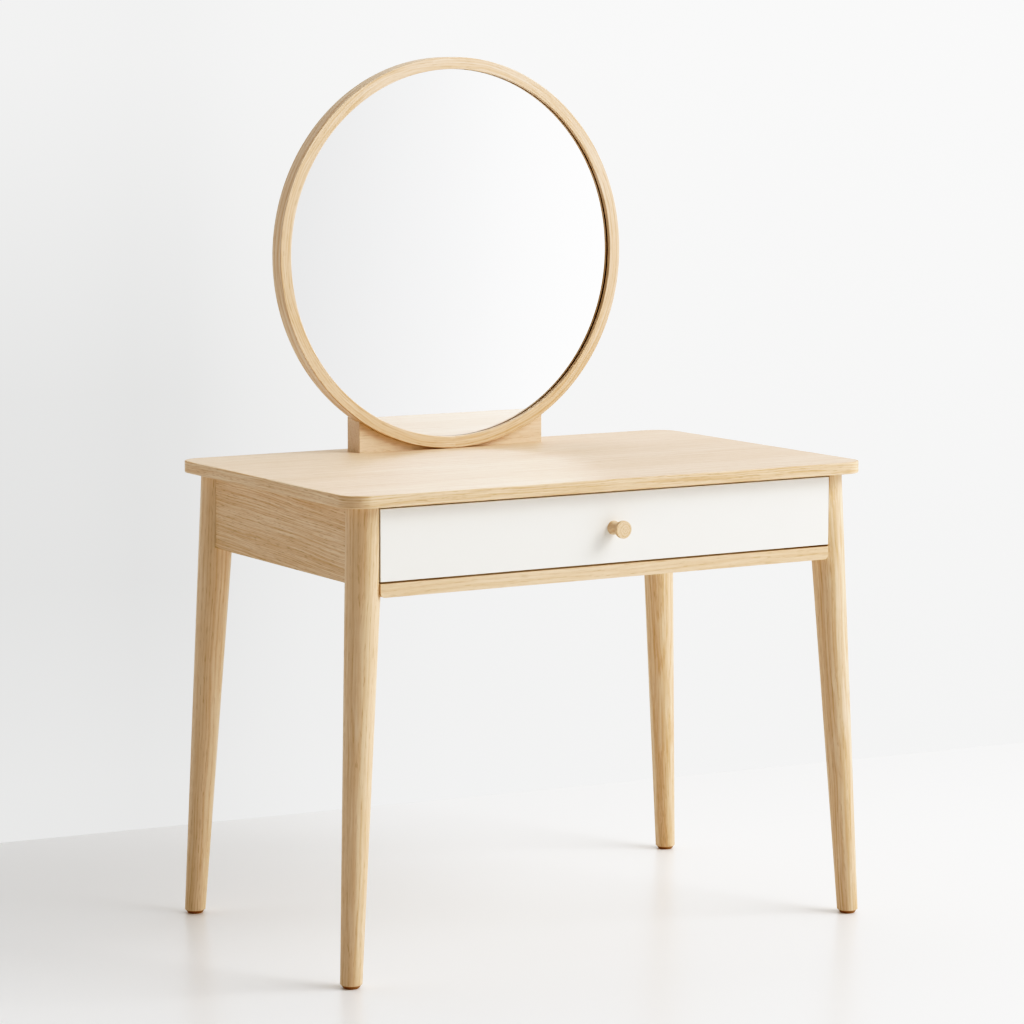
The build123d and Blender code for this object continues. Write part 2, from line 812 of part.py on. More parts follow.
with BuildPart() as clip_shape:
    with BuildSketch(Plane.XZ):
        with BuildLine():
            Polyline(
                (0, 0),
                (-clip_reach, 0),
                (-clip_reach, clip_sheet),
                (-clip_sheet, clip_sheet),
                (-clip_sheet, clip_rise),
                (0, clip_rise),
                close=True,
            )
        make_face()
    extrude(amount=clip_width / 2, both=True)
clip_wall_radius = math.sqrt(mirror_rebate_radius**2 - (clip_width / 2) ** 2)
clips_at = [
    Plane(
        origin=around_mirror(angle, clip_wall_radius, backing_back_y),
        x_dir=around_mirror(angle, 1, 0) - Vector(0, 0, mirror_z),
        z_dir=(0, 1, 0),
    )
    for angle in clip_angles
]
with BuildPart() as mirror_clips:
    with Locations(*[place.location for place in clips_at]):
        add(clip_shape.part)
    bore(clip_screws_at, clip_screw)
save(mirror_clips, "mirror_clips")

# ---------------------------------------------------------------- plinth
with BuildPart() as mirror_plinth:
    with BuildSketch(Plane.XZ.offset(-plinth_front_y)):
        with Locations((0, table_height + plinth_height / 2)):
            Rectangle(plinth_length, plinth_height)
    extrude(amount=-plinth_depth)
    upright_edges = mirror_plinth.edges().filter_by(Axis.Z)
    fillet(upright_edges, plinth_edge_round)
    with BuildSketch(Plane.XZ.offset(-mirror_back_y)):
        with Locations((0, mirror_z)):
            Circle(mirror_radius + mirror_seat_gap)
    extrude(amount=mirror_depth, mode=Mode.SUBTRACT)
    bore(plinth_screws_at, plinth_screw)
    bore(mirror_screws_at, mirror_screw)
save(mirror_plinth, "mirror_plinth")
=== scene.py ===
"""Visible pieces, finishes and studio of a salon styling station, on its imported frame."""

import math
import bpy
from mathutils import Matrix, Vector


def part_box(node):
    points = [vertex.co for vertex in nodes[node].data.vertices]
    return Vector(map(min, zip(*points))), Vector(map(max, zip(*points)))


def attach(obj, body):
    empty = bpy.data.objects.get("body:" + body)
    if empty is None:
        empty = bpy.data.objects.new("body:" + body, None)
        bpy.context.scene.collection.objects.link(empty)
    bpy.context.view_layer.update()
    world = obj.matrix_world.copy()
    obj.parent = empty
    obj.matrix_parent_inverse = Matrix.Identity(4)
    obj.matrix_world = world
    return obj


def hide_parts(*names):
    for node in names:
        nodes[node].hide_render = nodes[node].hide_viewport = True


bl_info = {
    "name": "Salon styling station",
    "version": (1, 0, 0),
    "blender": (4, 5, 0),
    "location": "View3D > Sidebar > Station",
    "description": "Builds the visible pieces, finishes and studio of a salon styling station",
    "category": "Object",
}

import bmesh
import bpy
from mathutils import Matrix, Vector

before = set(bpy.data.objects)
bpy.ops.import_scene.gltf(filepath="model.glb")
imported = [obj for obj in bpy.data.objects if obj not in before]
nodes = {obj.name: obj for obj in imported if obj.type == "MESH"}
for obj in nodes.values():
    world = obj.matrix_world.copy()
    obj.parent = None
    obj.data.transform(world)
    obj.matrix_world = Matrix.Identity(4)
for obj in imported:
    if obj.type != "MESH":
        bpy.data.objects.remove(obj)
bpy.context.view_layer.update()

MM = 0.001

# Segments around the mirror: enough for a rim that shows no corners from a metre away.
RING_STEPS = 192
GLASS_STEPS = 160
# Faces that meet at more than this keep a sharp edge between them.
SHARP_ANGLE = math.radians(35)
# Points closer than this, in metres, are one point.
MERGE = 1e-6
# Only the tabletop's upper and lower panel have more corners than this.
PANEL_CORNERS = 20
# How far the rebate's stain, partly painted shade, runs over its back edge, in metres.
STAIN_SHADE_REACH = 1e-4

# A leg's axis in the right back quarter, at the floor and under the top, in metres.
LEG_FOOT = Vector((0.4635, 0.274, 0))
LEG_HEAD = Vector((0.422, 0.2495, 0.731))

# The backdrop stands behind the station and turns slightly towards the camera.
BACKDROP_DISTANCE = 0.866
BACKDROP_SLOPE = 0.093
BACKDROP_HEIGHT = 5
SHEET_REACH = 7
# The floor melts into the studio's own brightness between these distances.
MELT_START = 1.5
MELT_END = 4.2
FAR_STRENGTH = 1.05

# The large soft light: its sides, and where it stands and points.
KEY_SIZE = (2.6, 2.2)
KEY_STAND = Vector((2.6, -2.4, 3.2))
KEY_AIM = Vector((0, 0, 0.6))


def linear(hex_colour):
    """Linear red, green and blue of an sRGB hex value."""
    parts = [int(hex_colour[at : at + 2], 16) / 255 for at in (1, 3, 5)]
    return tuple(c / 12.92 if c <= 0.04045 else ((c + 0.055) / 1.055) ** 2.4 for c in parts)


def colour(name, description, hex_colour):
    """Colour property with an sRGB hex default."""
    return bpy.props.FloatVectorProperty(
        name=name,
        description=description,
        subtype="COLOR",
        size=3,
        min=0.0,
        max=1.0,
        default=linear(hex_colour),
    )


def length(name, description, metres):
    """Length property in metres."""
    return bpy.props.FloatProperty(
        name=name, description=description, unit="LENGTH", min=0.0, default=metres
    )


def share(name, description, value, top=1.0):
    """Plain factor property."""
    return bpy.props.FloatProperty(
        name=name, description=description, subtype="FACTOR", min=0.0, max=top, default=value
    )


# ---------------------------------------------------------------- what a user would change
class StationSizes(bpy.types.PropertyGroup):
    """Roundings and widths of the pieces modelled here."""

    top_corner: length("Top corner", "Radius of the tabletop's corners in plan", 0.04)
    top_round: length("Top edge", "Rounding of the tabletop's edges", 0.0015)
    lipping: length("Lipping", "Width of the solid oak lipping around the veneer", 0.0035)
    ring_width: length("Ring width", "Width of the mirror frame's face", 0.02)
    ring_lip: length("Ring lip", "Thickness of the lip in front of the glass", 0.009)
    ring_rebate: length("Ring rebate", "Width of the rebate behind the lip", 0.006)
    ring_round: length("Ring edge", "Rounding of the mirror frame's front edges", 0.0015)
    ring_back: length("Ring back", "Rounding of the mirror frame's back edges", 0.0006)
    ring_quirk: length("Ring quirk", "Rounding of the lip beside the glass", 0.002)
    glass_arris: length("Glass arris", "Chamfer ground on the mirror's rim", 0.0007)
    drawer_round: length("Drawer edge", "Rounding of the drawer front's edges", 0.001)


class StationOak(bpy.types.PropertyGroup):
    """Tones of the oak under its clear matt lacquer."""

    pale: colour("Pale wood", "Oak between its growth rings", "#EBD5BA")
    deep: colour("Deep wood", "Oak in the early wood of a ring", "#CFAC84")
    pore: colour("Pores", "Open pores", "#AD8A62")
    veneer_pale: colour("Pale veneer", "Veneer, ring and plinth between growth rings", "#ECD8C1")
    veneer_deep: colour("Deep veneer", "Veneer and plinth in growth rings", "#D8BC9F")


class StationFinishes(bpy.types.PropertyGroup):
    """Colours of the finishes other than oak."""

    lacquer: colour("Lacquer", "Off-white drawer front", "#F2F0EA")
    silver: colour("Silvering", "What the mirror gives back", "#F5F5F5")
    # Part real stain, part painted shade: it darkens the rebate where the shadow line beside the
    # glass falls.
    rebate_stain_and_shade: colour("Stain", "Dark stain in the mirror frame's rebate", "#3A2412")
    hardboard: colour("Hardboard", "Backing of the mirror", "#917A63")
    birch: colour("Birch", "Face veneer of the drawer box", "#EADCC8")
    birch_core: colour("Birch core", "Cross layers on the plywood's edges", "#B08D60")
    beech: colour("Beech", "Corner blocks and battens", "#D8B48C")
    zinc: colour("Zinc", "Bright plated steel", "#BFC2C6")
    nylon: colour("Nylon", "Floor glides", "#9A7048")


class StationStudio(bpy.types.PropertyGroup):
    """Floor, backdrop, lights and camera."""

    floor: colour("Floor", "Pale floor", "#F6F6F6")
    wall: colour("Backdrop", "Backdrop paper", "#FEFEFD")
    key: bpy.props.FloatProperty(
        name="Key", description="Power of the large soft light", unit="POWER", default=118.0
    )
    fill: share("Fill", "Strength of the studio around", 1.0, 4.0)
    lens: bpy.props.FloatProperty(
        name="Lens", description="Focal length", unit="CAMERA", default=119.39
    )
    eye: bpy.props.FloatVectorProperty(
        name="Eye",
        description="Where the camera stands",
        subtype="TRANSLATION",
        size=3,
        default=(-2.8093, -4.7031, 1.3602),
    )
    pitch: bpy.props.FloatProperty(
        name="Pitch", description="Camera's dip", subtype="ANGLE", default=math.radians(7.23)
    )
    yaw: bpy.props.FloatProperty(
        name="Yaw", description="Camera's turn", subtype="ANGLE", default=math.radians(30.69)
    )


# ---------------------------------------------------------------- nodes
def add(tree, kind, inputs=None, stops=None, **settings):
    """Adds one node: its settings, its ramp's stops, then each input's value or link."""
    node = tree.nodes.new(kind)
    for name, value in settings.items():
        setattr(node, name, value)
    if stops:
        ramp = node.color_ramp
        while len(ramp.elements) > 1:
            ramp.elements.remove(ramp.elements[-1])
        ramp.elements[0].position = stops[0][0]
        ramp.elements[0].color = stops[0][1]
        for position, tone in stops[1:]:
            ramp.elements.new(position).color = tone
    for key, value in (inputs or {}).items():
        if isinstance(value, bpy.types.NodeSocket):
            tree.links.new(value, node.inputs[key])
        else:
            node.inputs[key].default_value = value
    return node


def grey(value):
    """Opaque grey for a ramp's stop."""
    return (value, value, value, 1.0)


def new_material(name):
    """Empty node material with its output, and the tree to fill."""
    material = bpy.data.materials.new(name)
    material.use_nodes = True
    material.node_tree.nodes.clear()
    return material, material.node_tree


def finish(tree, shader):
    """Links a shader to the material's output."""
    add(tree, "ShaderNodeOutputMaterial", {"Surface": shader.outputs[0]})


def oak_grain():
    """Node group that draws oak in millimetres, X along the grain, Y and Z across it."""
    found = bpy.data.node_groups.get("oak grain")
    if found:
        return found
    tree = bpy.data.node_groups.new("oak grain", "ShaderNodeTree")
    face = tree.interface
    for name, kind in (
        ("Vector", "NodeSocketVector"),
        ("Pale", "NodeSocketColor"),
        ("Deep", "NodeSocketColor"),
        ("Pore", "NodeSocketColor"),
        ("Ring", "NodeSocketFloat"),
        ("Figure", "NodeSocketFloat"),
        ("Streaks", "NodeSocketFloat"),
        ("Pores", "NodeSocketFloat"),
    ):
        face.new_socket(name, in_out="INPUT", socket_type=kind)
    face.new_socket("Color", in_out="OUTPUT", socket_type="NodeSocketColor")
    face.new_socket("Roughness", in_out="OUTPUT", socket_type="NodeSocketFloat")
    face.new_socket("Height", in_out="OUTPUT", socket_type="NodeSocketFloat")
    given = add(tree, "NodeGroupInput")
    place = given.outputs["Vector"]

    # The trunk was not straight: rings wander 12 mm over a quarter metre, and 2 mm over a few
    # centimetres.
    bent = place
    for period, wander in (((260, 60, 60), 12.0), ((55, 16, 16), 2.4)):
        scaled = add(
            tree,
            "ShaderNodeVectorMath",
            {0: place, 1: tuple(1 / p for p in period)},
            operation="MULTIPLY",
        )
        cloud = add(
            tree, "ShaderNodeTexNoise", {"Vector": scaled.outputs[0], "Scale": 1.0, "Detail": 1.0}
        )
        level = add(
            tree,
            "ShaderNodeVectorMath",
            {0: cloud.outputs["Color"], 1: (0.5, 0.5, 0.5)},
            operation="SUBTRACT",
        )
        bent = add(
            tree,
            "ShaderNodeVectorMath",
            {0: level.outputs[0], 1: (0, wander, wander), 2: bent},
            operation="MULTIPLY_ADD",
        ).outputs[0]
    across = add(tree, "ShaderNodeVectorMath", {0: bent, 1: (0, 1, 1)}, operation="MULTIPLY")
    radius = add(tree, "ShaderNodeVectorMath", {0: across.outputs[0]}, operation="LENGTH")
    count = add(
        tree,
        "ShaderNodeMath",
        {0: radius.outputs["Value"], 1: given.outputs["Ring"]},
        operation="DIVIDE",
    )
    # Good and poor years: some rings stand close together and others apart.
    years = add(
        tree,
        "ShaderNodeTexNoise",
        {"W": count.outputs[0], "Scale": 0.37, "Detail": 1.0},
        noise_dimensions="1D",
    )
    count = add(
        tree,
        "ShaderNodeMath",
        {0: years.outputs[0], 1: 2.6, 2: count.outputs[0]},
        operation="MULTIPLY_ADD",
    )
    phase = add(tree, "ShaderNodeMath", {0: count.outputs[0]}, operation="FRACT")
    # Early wood is a porous dark band that fades into smooth late wood.
    ring = add(
        tree,
        "ShaderNodeValToRGB",
        {0: phase.outputs[0]},
        stops=[
            (0.0, grey(0.9)),
            (0.14, grey(1.0)),
            (0.42, grey(0.22)),
            (0.8, grey(0.0)),
            (1.0, grey(0.9)),
        ],
    )

    def cloud_of(period, detail, low, high):
        """Noise stretched to a period in millimetres, spread over its middle range."""
        scaled = add(
            tree,
            "ShaderNodeVectorMath",
            {0: bent, 1: tuple(1 / p for p in period)},
            operation="MULTIPLY",
        )
        noise = add(
            tree,
            "ShaderNodeTexNoise",
            {"Vector": scaled.outputs[0], "Scale": 1.0, "Detail": detail},
        )
        return add(
            tree,
            "ShaderNodeMapRange",
            {"Value": noise.outputs[0], "From Min": low, "From Max": high},
        ).outputs[0]

    # Fibre bundles are under a millimetre wide; they are drawn 3 mm wide so that they show.
    streak = cloud_of((150, 3.2, 3.2), 3.0, 0.36, 0.66)
    fine = cloud_of((60, 1.3, 1.3), 2.0, 0.3, 0.7)
    broad = cloud_of((520, 110, 110), 1.0, 0.3, 0.7)
    # Pores are 0.3 mm wide and 5 mm long; they are drawn 1.2 mm by 16 mm so that they show.
    dash = cloud_of((16, 1.2, 1.2), 0.0, 0.60, 0.70)

    figure = add(
        tree,
        "ShaderNodeMath",
        {0: ring.outputs[0], 1: given.outputs["Figure"]},
        operation="MULTIPLY",
    )
    lines = add(
        tree,
        "ShaderNodeMath",
        {0: streak, 1: given.outputs["Streaks"], 2: figure.outputs[0]},
        operation="MULTIPLY_ADD",
    )
    hair = add(
        tree, "ShaderNodeMath", {0: fine, 1: 0.16, 2: lines.outputs[0]}, operation="MULTIPLY_ADD"
    )
    tone = add(
        tree,
        "ShaderNodeMath",
        {0: broad, 1: 0.22, 2: hair.outputs[0]},
        operation="MULTIPLY_ADD",
        use_clamp=True,
    )
    wood = add(
        tree,
        "ShaderNodeMix",
        {0: tone.outputs[0], 6: given.outputs["Pale"], 7: given.outputs["Deep"]},
        data_type="RGBA",
    )
    porous = add(
        tree,
        "ShaderNodeMath",
        {0: ring.outputs[0], 1: 0.75, 2: 0.25},
        operation="MULTIPLY_ADD",
    )
    open_pore = add(
        tree, "ShaderNodeMath", {0: dash, 1: porous.outputs[0]}, operation="MULTIPLY"
    )
    seen_pore = add(
        tree,
        "ShaderNodeMath",
        {0: open_pore.outputs[0], 1: given.outputs["Pores"]},
        operation="MULTIPLY",
    )
    pored = add(
        tree,
        "ShaderNodeMix",
        {0: seen_pore.outputs[0], 6: wood.outputs[2], 7: given.outputs["Pore"]},
        data_type="RGBA",
    )
    rough = add(
        tree, "ShaderNodeMath", {0: tone.outputs[0], 1: 0.1, 2: 0.42}, operation="MULTIPLY_ADD"
    )
    dip = add(
        tree,
        "ShaderNodeMath",
        {0: seen_pore.outputs[0], 1: -0.6, 2: tone.outputs[0]},
        operation="MULTIPLY_ADD",
    )
    add(
        tree,
        "NodeGroupOutput",
        {
            "Color": pored.outputs[2],
            "Roughness": rough.outputs[0],
            "Height": dip.outputs[0],
        },
    )
    return tree


def oak(
    name, pith, along, tones, ring=6.0, figure=0.5, streaks=0.5, pores=0.6, coarse=1.0, drawn=False
):
    """Clear-lacquered oak: pith is a point on the trunk's axis in metres, along its direction.

    coarse widens the grain across its direction, drawn takes the place from the piece's own
    grain attribute.
    Matt lacquer leaves a soft sheen, open pores and a warm cream tone with tan rings.
    """
    material, tree = new_material(name)
    if drawn:
        seat = add(tree, "ShaderNodeAttribute", attribute_name="grain").outputs["Vector"]
    else:
        seat = add(tree, "ShaderNodeTexCoord").outputs["Object"]
    turn = Vector(along).to_track_quat("X", "Z").to_euler()
    across = coarse * MM
    grain = add(
        tree,
        "ShaderNodeMapping",
        {"Vector": seat, "Location": pith, "Rotation": turn, "Scale": (MM, across, across)},
        vector_type="TEXTURE",
    )
    wood = add(
        tree,
        "ShaderNodeGroup",
        node_tree=oak_grain(),
    )
    tree.links.new(grain.outputs[0], wood.inputs["Vector"])
    for key, tone in zip(("Pale", "Deep", "Pore"), tones):
        wood.inputs[key].default_value = (*tone, 1.0)
    for key, value in (("Ring", ring), ("Figure", figure), ("Streaks", streaks), ("Pores", pores)):
        wood.inputs[key].default_value = value
    bump = add(
        tree,
        "ShaderNodeBump",
        {"Strength": 0.12, "Distance": 0.0002, "Height": wood.outputs["Height"]},
    )
    shader = add(
        tree,
        "ShaderNodeBsdfPrincipled",
        {
            "Base Color": wood.outputs["Color"],
            "Roughness": wood.outputs["Roughness"],
            "Normal": bump.outputs[0],
            "IOR": 1.5,
        },
    )
    finish(tree, shader)
    return material


def spotted(name, tint, spread, period, rough, dent, metallic=0.0, ior=1.5, depth=0.00005):
    """Even finish that real making left slightly uneven in tone, gloss and surface."""
    material, tree = new_material(name)
    seat = add(tree, "ShaderNodeTexCoord").outputs["Object"]
    grain = add(
        tree,
        "ShaderNodeMapping",
        {"Vector": seat, "Scale": tuple(MM * p for p in period)},
        vector_type="TEXTURE",
    )
    cloud = add(
        tree, "ShaderNodeTexNoise", {"Vector": grain.outputs[0], "Scale": 1.0, "Detail": 3.0}
    )
    tone = add(
        tree,
        "ShaderNodeMix",
        {
            0: cloud.outputs[0],
            6: (*[c * (1 - spread) for c in tint], 1.0),
            7: (*[min(1.0, c * (1 + spread)) for c in tint], 1.0),
        },
        data_type="RGBA",
    )
    gloss = add(
        tree,
        "ShaderNodeMapRange",
        {"Value": cloud.outputs[0], "To Min": rough[0], "To Max": rough[1]},
    )
    bump = add(
        tree,
        "ShaderNodeBump",
        {"Strength": dent, "Distance": depth, "Height": cloud.outputs[0]},
    )
    inputs = {
        "Base Color": tone.outputs[2],
        "Roughness": gloss.outputs[0],
        "Normal": bump.outputs[0],
        "Metallic": metallic,
    }
    if not metallic:
        inputs["IOR"] = ior
    finish(tree, add(tree, "ShaderNodeBsdfPrincipled", inputs))
    return material


def plywood(name, thick, face_at, tint, core):
    """Sanded birch plywood: quiet face veneer, and 1.4 mm layers striped on the edges.

    thick is the axis across the sheet, face_at the place of one face along it in metres.
    """
    material, tree = new_material(name)
    seat = add(tree, "ShaderNodeTexCoord")
    parts = add(tree, "ShaderNodeSeparateXYZ", {0: seat.outputs["Object"]})
    normal = add(tree, "ShaderNodeSeparateXYZ", {0: seat.outputs["Normal"]})
    depth = add(
        tree, "ShaderNodeMath", {0: parts.outputs[thick], 1: face_at}, operation="SUBTRACT"
    )
    # Nine layers in 12 mm give stripes 1.33 mm wide, one light and one dark in 2.67 mm.
    layer = add(tree, "ShaderNodeMath", {0: depth.outputs[0], 1: 2.667 * MM}, operation="DIVIDE")
    phase = add(tree, "ShaderNodeMath", {0: layer.outputs[0]}, operation="FRACT")
    stripe = add(
        tree,
        "ShaderNodeValToRGB",
        {0: phase.outputs[0]},
        stops=[
            (0.0, (*tint, 1.0)),
            (0.46, (*tint, 1.0)),
            (0.52, (*core, 1.0)),
            (0.94, (*core, 1.0)),
            (1.0, (*tint, 1.0)),
        ],
    )
    facing = add(tree, "ShaderNodeMath", {0: normal.outputs[thick]}, operation="ABSOLUTE")
    on_face = add(tree, "ShaderNodeMath", {0: facing.outputs[0], 1: 0.5}, operation="GREATER_THAN")
    stretched = [9.0, 9.0, 9.0]
    stretched[1 if thick == 0 else 0] = 160.0
    grain = add(
        tree,
        "ShaderNodeMapping",
        {"Vector": seat.outputs["Object"], "Scale": tuple(MM * p for p in stretched)},
        vector_type="TEXTURE",
    )
    cloud = add(
        tree, "ShaderNodeTexNoise", {"Vector": grain.outputs[0], "Scale": 1.0, "Detail": 4.0}
    )
    veneer = add(
        tree,
        "ShaderNodeMix",
        {
            0: cloud.outputs[0],
            6: (*[c * 0.82 for c in tint], 1.0),
            7: (*[min(1.0, c * 1.12) for c in tint], 1.0),
        },
        data_type="RGBA",
    )
    tone = add(
        tree,
        "ShaderNodeMix",
        {0: on_face.outputs[0], 6: stripe.outputs[0], 7: veneer.outputs[2]},
        data_type="RGBA",
    )
    gloss = add(
        tree, "ShaderNodeMapRange", {"Value": cloud.outputs[0], "To Min": 0.45, "To Max": 0.62}
    )
    shader = add(
        tree,
        "ShaderNodeBsdfPrincipled",
        {"Base Color": tone.outputs[2], "Roughness": gloss.outputs[0], "IOR": 1.5},
    )
    finish(tree, shader)
    return material


def dress(names, material):
    """Gives carried-over nodes their finish."""
    for name in names:
        for slot in nodes[name].material_slots:
            slot.material = material


# ---------------------------------------------------------------- modelling
def as_piece(bm, name, body, stands_for, materials):
    """Turns a finished bmesh into a piece of the frame."""
    bmesh.ops.remove_doubles(bm, verts=bm.verts[:], dist=MERGE)
    bmesh.ops.recalc_face_normals(bm, faces=bm.faces[:])
    mesh = bpy.data.meshes.new(name)
    bm.to_mesh(mesh)
    bm.free()
    for material in materials:
        mesh.materials.append(material)
    mesh.shade_smooth()
    mesh.set_sharp_from_angle(angle=SHARP_ANGLE)
    piece = bpy.data.objects.new(name, mesh)
    bpy.context.scene.collection.objects.link(piece)
    weighted = piece.modifiers.new("weighted normals", "WEIGHTED_NORMAL")
    weighted.keep_sharp = True
    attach(piece, body)
    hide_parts(*stands_for)
    return piece


def upright(face):
    """True for a wall, whose normal lies level."""
    return abs(face.normal.z) < 0.5


def around_top(x, y, half_x, half_y, corner):
    """Distance around the tabletop from the middle of its front edge, and depth inside it."""
    flat_x = half_x - corner
    flat_y = half_y - corner
    quarter = corner * math.pi / 2
    out_x = abs(x) - flat_x
    out_y = abs(y) - flat_y
    if out_x > 0 and out_y > 0:
        turn = math.atan2(out_x, out_y)
        inside = corner - math.hypot(out_x, out_y)
        if y < 0:
            gone = flat_x + corner * turn
        else:
            gone = flat_x + quarter + 2 * flat_y + corner * (math.pi / 2 - turn)
    elif out_x > out_y:
        inside = corner - out_x
        gone = flat_x + quarter + (y + flat_y)
    else:
        inside = corner - out_y
        gone = abs(x) if y < 0 else flat_x + 2 * quarter + 2 * flat_y + (flat_x - abs(x))
    return math.copysign(gone, x), inside


def slab(low, high, corner):
    """Upright prism with rounded corners in plan, between two opposite corners."""
    size = high - low
    middle = (low + high) / 2
    bm = bmesh.new()
    bmesh.ops.create_grid(bm, x_segments=1, y_segments=1, size=0.5)
    bmesh.ops.scale(bm, vec=(size.x, size.y, 1), verts=bm.verts)
    bmesh.ops.translate(bm, vec=(middle.x, middle.y, low.z), verts=bm.verts)
    bmesh.ops.bevel(
        bm,
        geom=bm.verts[:],
        offset=corner,
        offset_type="OFFSET",
        affect="VERTICES",
        segments=16,
        profile=0.5,
        material=-1,
    )
    raised = bmesh.ops.extrude_face_region(bm, geom=bm.faces[:])
    top = [item for item in raised["geom"] if isinstance(item, bmesh.types.BMVert)]
    bmesh.ops.translate(bm, vec=(0, 0, size.z), verts=top)
    bmesh.ops.recalc_face_normals(bm, faces=bm.faces[:])
    return bm


class STATION_OT_tabletop(bpy.types.Operator):
    """Veneered tabletop with a solid oak lipping and eased edges"""

    bl_idname = "station.tabletop"
    bl_label = "Tabletop"

    def execute(self, context):
        sizes = context.scene.station_sizes
        tones = context.scene.station_oak
        low, high = (Vector(c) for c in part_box("tabletop"))
        bm = slab(low, high, sizes.top_corner)
        rims = [
            edge
            for edge in bm.edges
            if len({upright(face) for face in edge.link_faces}) == 2
        ]
        bmesh.ops.bevel(
            bm,
            geom=rims,
            offset=sizes.top_round,
            offset_type="OFFSET",
            affect="EDGES",
            segments=4,
            profile=0.5,
            material=-1,
        )
        panels = [face for face in bm.faces if len(face.verts) > PANEL_CORNERS]
        bmesh.ops.inset_individual(
            bm, faces=panels, thickness=sizes.lipping - sizes.top_round, use_even_offset=True
        )
        veneered = [face for face in bm.faces if len(face.verts) > PANEL_CORNERS]
        for face in bm.faces:
            face.material_index = 0 if face in veneered else 1
        grain = bm.loops.layers.float_vector.new("grain")
        half_x = (high.x - low.x) / 2
        half_y = (high.y - low.y) / 2
        for face in bm.faces:
            centre = face.calc_center_median()
            for loop in face.loops:
                x, y, z = loop.vert.co
                gone, inside = around_top(x, y, half_x, half_y, sizes.top_corner)
                if abs(x) < MERGE and centre.x < 0:
                    gone = -gone
                loop[grain] = (gone, inside, z)
        veneer = oak(
            "oak veneer, matt lacquer",
            pith=(0, 0.9, 0.52),
            along=(1, 0.012, 0),
            tones=(tones.veneer_pale, tones.veneer_deep, tones.pore),
            ring=9.0,
            figure=0.34,
            streaks=0.48,
            pores=0.35,
        )
        lipping = oak(
            "oak lipping, matt lacquer",
            pith=(0, 0.05, 0.69),
            along=(1, 0, 0),
            tones=(tones.pale, tones.deep, tones.pore),
            ring=3.2,
            figure=0.3,
            streaks=0.48,
            pores=0.5,
            drawn=True,
        )
        as_piece(bm, "tabletop_oak", "table", ["tabletop"], [veneer, lipping])
        return {"FINISHED"}


def turned(profile, rounds, centre, steps):
    """Closed profile spun about a level axis through centre.

    Each profile point is distance out from the axis and place along +Y; rounds gives the
    rounding of each corner, 0 for none.
    """
    bm = bmesh.new()
    verts = [bm.verts.new((0, y, centre.z - out)) for out, y in profile]
    bm.faces.new(verts)
    for vert, radius in zip(verts, rounds):
        if radius:
            bmesh.ops.bevel(
                bm,
                geom=[vert],
                offset=radius,
                offset_type="OFFSET",
                affect="VERTICES",
                segments=4,
                profile=0.5,
                material=-1,
            )
    bmesh.ops.delete(bm, geom=bm.faces[:], context="FACES_ONLY")
    bmesh.ops.spin(
        bm,
        geom=bm.verts[:] + bm.edges[:],
        cent=centre,
        axis=(0, 1, 0),
        angle=math.tau,
        steps=steps,
        use_merge=True,
    )
    bmesh.ops.remove_doubles(bm, verts=bm.verts[:], dist=MERGE)
    bmesh.ops.dissolve_degenerate(bm, edges=bm.edges[:], dist=1e-7)
    return bm


class STATION_OT_mirror_ring(bpy.types.Operator):
    """Bent oak frame of the round mirror, with eased front edges and a rebate"""

    bl_idname = "station.mirror_ring"
    bl_label = "Mirror ring"

    def execute(self, context):
        sizes = context.scene.station_sizes
        tones = context.scene.station_oak
        low, high = (Vector(c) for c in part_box("mirror_frame"))
        outer = (high.x - low.x) / 2
        centre = Vector((0, 0, high.z - outer))
        inner = outer - sizes.ring_width
        rebate = inner + sizes.ring_rebate
        step = low.y + sizes.ring_lip
        bm = turned(
            [
                (inner, low.y),
                (outer, low.y),
                (outer, high.y),
                (rebate, high.y),
                (rebate, step),
                (inner, step),
            ],
            [
                sizes.ring_round,
                sizes.ring_round,
                sizes.ring_back,
                sizes.ring_back,
                0,
                sizes.ring_quirk,
            ],
            centre,
            RING_STEPS,
        )
        grain = bm.loops.layers.float_vector.new("grain")
        for face in bm.faces:
            middle = face.calc_center_median() - centre
            in_rebate = math.hypot(middle.x, middle.z) < rebate + STAIN_SHADE_REACH
            face.material_index = int(in_rebate and middle.y > step - sizes.ring_quirk)
            heading = math.atan2(middle.x, middle.z)
            for loop in face.loops:
                out = loop.vert.co - centre
                angle = math.atan2(out.x, out.z)
                if angle - heading > math.pi:
                    angle -= math.tau
                elif heading - angle > math.pi:
                    angle += math.tau
                loop[grain] = (angle * outer, math.hypot(out.x, out.z), loop.vert.co.y)
        wood = oak(
            "bent oak, matt lacquer",
            pith=(0, 0.27, 0.2),
            along=(1, 0, 0),
            tones=(tones.veneer_pale, tones.deep, tones.pore),
            ring=3.0,
            figure=0.31,
            streaks=0.38,
            pores=0.3,
            coarse=1.6,
            drawn=True,
        )
        # The rebate is stained so that no pale wood shows in the glass, and as painted shade:
        # a dark shadow line at its rim.
        rebate_stain_and_shade = spotted(
            "dark stain and painted shade on oak",
            context.scene.station_finishes.rebate_stain_and_shade,
            0.15,
            (30, 2.0, 30),
            (0.5, 0.6),
            0.1,
        )
        as_piece(bm, "mirror_ring_oak", "table", ["mirror_frame"], [wood, rebate_stain_and_shade])
        return {"FINISHED"}


